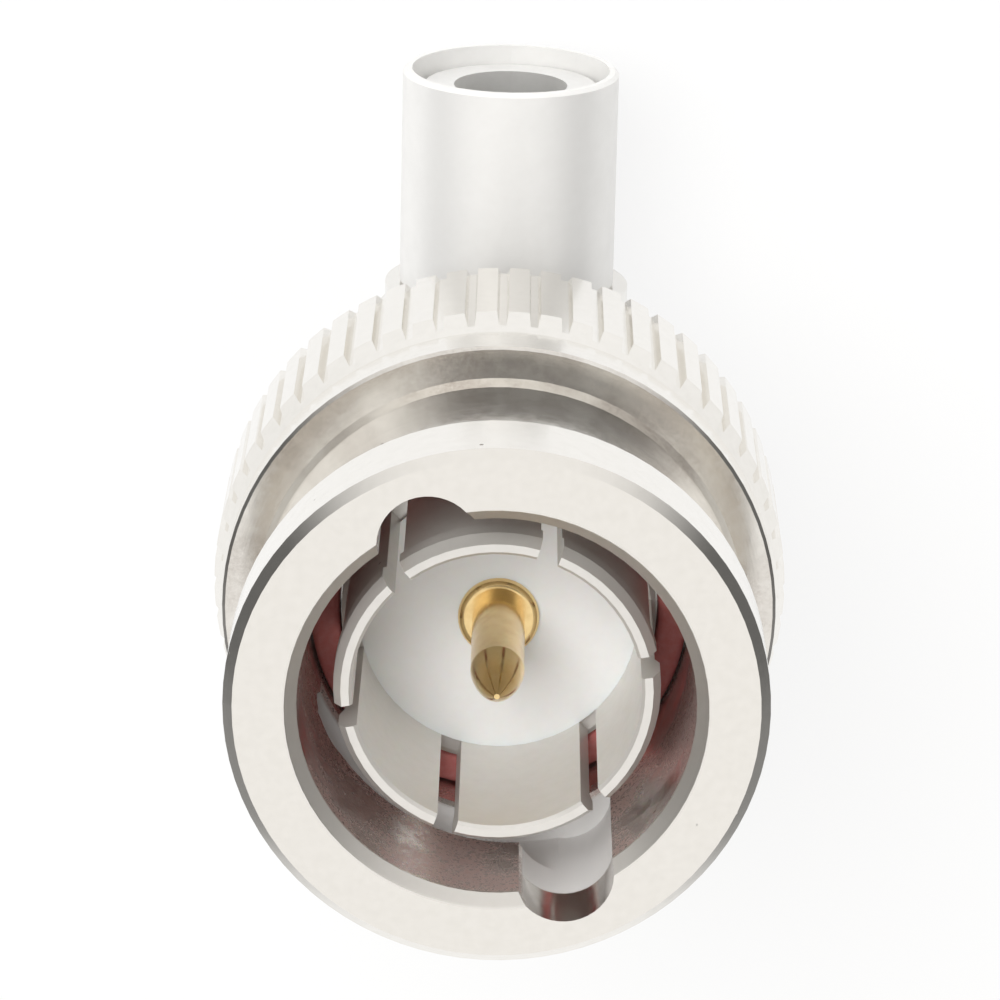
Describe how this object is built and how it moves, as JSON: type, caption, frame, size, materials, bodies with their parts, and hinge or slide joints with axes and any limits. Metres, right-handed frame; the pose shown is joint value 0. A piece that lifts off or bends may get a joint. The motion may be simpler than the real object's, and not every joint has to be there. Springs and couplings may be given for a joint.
{
  "type": "bnc connector",
  "caption": "Right-angle bayonet plug for coaxial cable, with a knurled coupling nut, sprung outer contact, gold centre pin and crimp ferrule.",
  "frame": {"origin": "centre of the rear cap's outer face, on the mating axis", "axes": "+Z out of the mating face along the mating axis, -Y along the cable axis, away from the block"},
  "size_m": [0.0148, 0.0189, 0.024],
  "materials": {
    "nut_nickel": "nickel plate, bright, on brass",
    "body_nickel": "nickel plate, bright, on brass",
    "contact_nickel": "nickel plate, satin, on bronze",
    "ferrule_nickel": "nickel plate, bright, on annealed copper alloy",
    "spring_steel": "plain spring steel",
    "washer_brass": "nickel plate on brass",
    "gold_plate": "gold plate, polished",
    "silicone_red": "red silicone rubber, satin",
    "white_fluoroplastic": "white fluoroplastic, turned"
  },
  "bodies": {
    "plug_body": {"elbow_body": "body_nickel", "outer_contact": "contact_nickel", "mating_gasket": "silicone_red", "front_insulator": "white_fluoroplastic", "centre_pin": "gold_plate", "rear_cap": "body_nickel", "cap_insulator": "white_fluoroplastic", "crimp_stem": "body_nickel", "spring_washer": "spring_steel"},
    "nut_float": {"thrust_washer": "washer_brass"},
    "nut": {"coupling_nut": "nut_nickel", "retaining_ring": "spring_steel"},
    "ferrule": {"crimp_ferrule": "ferrule_nickel"}
  },
  "joints": [
    {"name": "nut_pull", "type": "slide", "parent": "plug_body", "child": "nut_float", "axis": [0, 0, 1], "range_m": [0, 0.0005], "stiffness_N_per_m": 8000, "deforming": ["spring_washer"]},
    {"name": "nut_turn", "type": "hinge", "parent": "nut_float", "child": "nut", "pos_m": [0, 0, 0.0135], "axis": [0, 0, 1], "continuous": true},
    {"name": "ferrule_slide", "type": "slide", "parent": "plug_body", "child": "ferrule", "axis": [0, -1, 0], "range_m": [0, 0.0056]}
  ]
}
